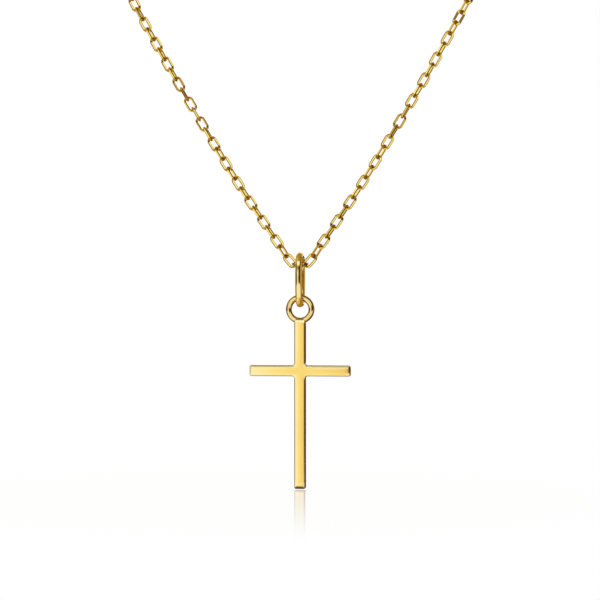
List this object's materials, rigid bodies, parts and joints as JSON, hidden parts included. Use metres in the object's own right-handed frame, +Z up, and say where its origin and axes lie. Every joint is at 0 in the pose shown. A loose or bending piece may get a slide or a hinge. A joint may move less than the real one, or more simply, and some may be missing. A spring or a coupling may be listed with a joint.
{
  "type": "cross pendant necklace",
  "caption": "Plain slim cross with a soldered ring, hung by a long oval bail from a fine cable chain closed by a spring ring clasp.",
  "frame": {"origin": "middle of the back of the loop, on the chain's own line, where the clasp row sits on the nape", "axes": "+Z up, -Y to the front, where the pendant hangs, and X along the clasp row"},
  "size_m": [0.1016, 0.0853, 0.1461],
  "materials": {
    "polished_gold": "mirror polished yellow gold",
    "chain_gold": "polished yellow gold wire",
    "clasp_gold": "polished yellow gold"
  },
  "bodies": {
    "chain": {"chain_left": "chain_gold", "chain_right": "chain_gold", "clasp": "clasp_gold", "end_ring": "clasp_gold"},
    "bail": {"bail": "polished_gold"},
    "cross": {"cross": "polished_gold"}
  },
  "joints": [
    {"name": "bail_swing", "type": "hinge", "parent": "chain", "child": "bail", "pos_m": [0, -0.0815, -0.109], "axis": [1, 0, 0], "range_deg": [-80, 80]},
    {"name": "cross_swing", "type": "hinge", "parent": "bail", "child": "cross", "pos_m": [0, -0.0815, -0.11503], "axis": [0, 1, 0], "range_deg": [-90, 90]}
  ]
}
